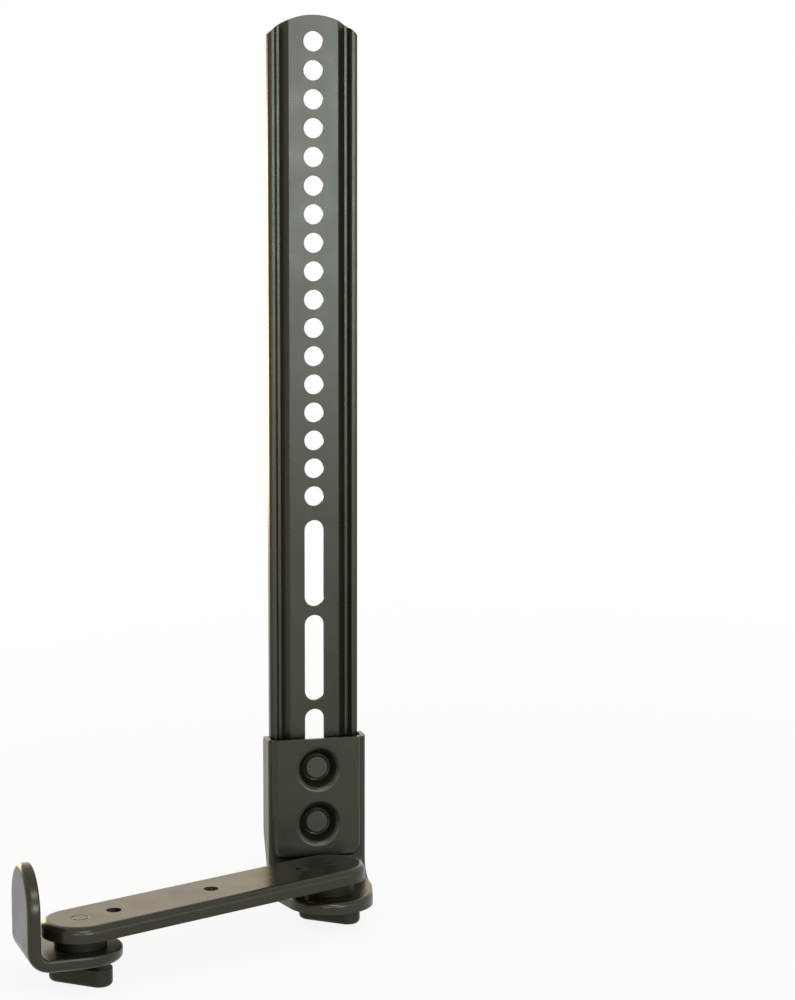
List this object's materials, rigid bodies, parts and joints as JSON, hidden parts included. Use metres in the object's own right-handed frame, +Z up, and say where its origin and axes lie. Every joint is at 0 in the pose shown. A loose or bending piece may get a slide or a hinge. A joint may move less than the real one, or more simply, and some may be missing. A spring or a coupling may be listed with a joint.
{
  "type": "soundbar bracket",
  "caption": "Slotted rail for the back of a television, with a clamped foot and a swinging arm that ends in an upturned hook, to carry a soundbar.",
  "frame": {"origin": "middle of the row of screw holes, on the front face of the rail, the face that goes against the television", "axes": "+Z up along the rail, -Y the front, towards the television and the soundbar, +X to the right of someone facing the front"},
  "size_m": [0.1674, 0.1103, 0.3995],
  "materials": {
    "black_steel": "satin black powder coat",
    "bolt_black": "dull black oxide",
    "zinc_steel": "plain zinc plate",
    "black_plastic": "fine matte black",
    "black_nylon": "smooth black"
  },
  "bodies": {
    "rail": {"rail": "black_steel"},
    "sleeve": {"sleeve_foot": "black_steel", "slot_bolt_upper": "bolt_black", "slot_bolt_lower": "bolt_black", "slot_washer_upper": "zinc_steel", "slot_washer_lower": "zinc_steel", "slot_nut_upper": "zinc_steel", "slot_nut_lower": "zinc_steel"},
    "arm": {"arm": "black_steel", "inner_pivot_nut": "black_steel", "outer_pivot_nut": "black_steel", "inner_spacer": "black_nylon", "outer_spacer": "black_nylon"},
    "hook": {"hook": "black_steel"},
    "inner_knob": {"inner_knob": "black_plastic", "inner_knob_stud": "zinc_steel", "inner_knob_washer": "bolt_black"},
    "outer_knob": {"outer_knob": "black_plastic", "outer_knob_stud": "zinc_steel", "outer_knob_washer": "bolt_black"}
  },
  "joints": [
    {"name": "height_slide", "type": "slide", "parent": "rail", "child": "sleeve", "axis": [0, 0, 1], "range_m": [-0.0045, 0.0215]},
    {"name": "arm_swivel", "type": "hinge", "parent": "sleeve", "child": "arm", "pos_m": [0, -0.028, -0.2606], "axis": [0, 0, 1], "range_deg": [-33, 163]},
    {"name": "hook_swivel", "type": "hinge", "parent": "arm", "child": "hook", "pos_m": [-0.11856, -0.08253, -0.2743], "axis": [0, 0, 1], "range_deg": [-80, 115]},
    {"name": "inner_knob_turn", "type": "hinge", "parent": "sleeve", "child": "inner_knob", "pos_m": [0, -0.028, -0.28], "axis": [0, 0, 1], "continuous": true},
    {"name": "outer_knob_turn", "type": "hinge", "parent": "hook", "child": "outer_knob", "pos_m": [-0.11856, -0.08253, -0.28], "axis": [0, 0, 1], "continuous": true}
  ]
}
